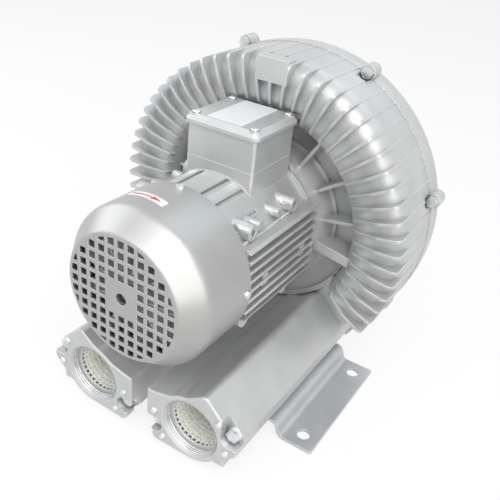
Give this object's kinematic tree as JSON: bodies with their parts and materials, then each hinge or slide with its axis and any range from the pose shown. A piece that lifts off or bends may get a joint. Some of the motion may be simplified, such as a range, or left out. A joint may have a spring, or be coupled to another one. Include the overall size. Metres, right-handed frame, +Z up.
{
  "type": "side channel blower",
  "caption": "Side channel blower with a finned motor, ribbed ring casing, two silencers with threaded ports and two sheet feet.",
  "frame": {"origin": "on the floor, in the middle of the four foot holes", "axes": "+Z up; +Y along the motor shaft from the fan end to the blower casing; +X to the right as seen from the fan end"},
  "size_m": [0.3332, 0.3165, 0.3307],
  "materials": {
    "casing_paint": "satin",
    "rear_cover_paint": "satin",
    "cover_bolt_steel": "satin",
    "right_silencer_paint": "satin",
    "left_silencer_paint": "satin",
    "right_screen_steel": "satin",
    "left_screen_steel": "satin",
    "right_sleeve_foam": "matte",
    "left_sleeve_foam": "matte",
    "silencer_bolt_steel": "satin",
    "port_screw_steel": "satin",
    "right_foot_zinc": "satin",
    "left_foot_zinc": "satin",
    "foot_screw_steel": "satin",
    "frame_paint": "satin",
    "shield_paint": "satin",
    "tie_bolt_steel": "satin",
    "stator_steel": "satin",
    "winding_copper": "satin",
    "wave_washer_steel": "satin",
    "seal_rubber": "matte",
    "front_outer_race": "satin",
    "rear_outer_race": "satin",
    "fan_cover_paint": "satin",
    "fan_cover_screw_steel": "satin",
    "box_paint": "satin",
    "lid_paint": "satin",
    "box_gasket_rubber": "matte",
    "lid_gasket_rubber": "matte",
    "lid_screw_steel": "satin",
    "block_plastic": "matte",
    "stud_brass": "satin",
    "link_brass": "satin",
    "earth_screw_steel": "satin",
    "gland_plastic": "matte",
    "gland_nut_plastic": "matte",
    "shaft_steel": "satin",
    "rotor_steel": "satin",
    "impeller_aluminium": "satin",
    "key_steel": "satin",
    "washer_steel": "satin",
    "impeller_bolt_steel": "satin",
    "fan_plastic": "matte",
    "circlip_steel": "satin",
    "front_inner_race": "satin",
    "rear_inner_race": "satin",
    "front_balls_steel": "satin",
    "rear_balls_steel": "satin"
  },
  "bodies": {
    "housing": {"side_channel_housing": "casing_paint", "rear_cover": "rear_cover_paint", "cover_bolts": "cover_bolt_steel", "right_silencer_body": "right_silencer_paint", "left_silencer_body": "left_silencer_paint", "right_port_screen": "right_screen_steel", "left_port_screen": "left_screen_steel", "right_silencer_sleeve": "right_sleeve_foam", "left_silencer_sleeve": "left_sleeve_foam", "silencer_bolts": "silencer_bolt_steel", "port_screws": "port_screw_steel", "right_foot": "right_foot_zinc", "left_foot": "left_foot_zinc", "foot_screws": "foot_screw_steel", "motor_frame": "frame_paint", "fan_end_shield": "shield_paint", "tie_bolts": "tie_bolt_steel", "stator_core": "stator_steel", "stator_winding": "winding_copper", "wave_washer": "wave_washer_steel", "shaft_seal": "seal_rubber", "front_bearing_outer": "front_outer_race", "rear_bearing_outer": "rear_outer_race", "fan_cover": "fan_cover_paint", "fan_cover_screws": "fan_cover_screw_steel", "terminal_box": "box_paint", "terminal_box_lid": "lid_paint", "box_gasket": "box_gasket_rubber", "lid_gasket": "lid_gasket_rubber", "lid_screws": "lid_screw_steel", "terminal_block": "block_plastic", "terminal_studs": "stud_brass", "terminal_links": "link_brass", "earth_screw": "earth_screw_steel", "cable_gland": "gland_plastic", "gland_nut": "gland_nut_plastic"},
    "rotor": {"motor_shaft": "shaft_steel", "rotor_core": "rotor_steel", "impeller": "impeller_aluminium", "impeller_key": "key_steel", "impeller_washer": "washer_steel", "impeller_bolt": "impeller_bolt_steel", "cooling_fan": "fan_plastic", "fan_circlip": "circlip_steel", "front_bearing_inner": "front_inner_race", "rear_bearing_inner": "rear_inner_race"},
    "front_balls": {"front_bearing_balls": "front_balls_steel"},
    "rear_balls": {"rear_bearing_balls": "rear_balls_steel"}
  },
  "joints": [
    {"name": "rotor_spin", "type": "hinge", "parent": "housing", "child": "rotor", "pos_m": [0, 0, 0.168], "axis": [0, 1, 0], "continuous": true},
    {"name": "front_ball_roll", "type": "hinge", "parent": "housing", "child": "front_balls", "pos_m": [0, -0.114, 0.168], "axis": [0, 1, 0], "continuous": true},
    {"name": "rear_ball_roll", "type": "hinge", "parent": "housing", "child": "rear_balls", "pos_m": [0, 0.0475, 0.168], "axis": [0, 1, 0], "continuous": true}
  ],
  "couplings": [
    {"joint": "front_ball_roll", "follows": "rotor_spin", "ratio": 0.381},
    {"joint": "rear_ball_roll", "follows": "rotor_spin", "ratio": 0.396}
  ]
}
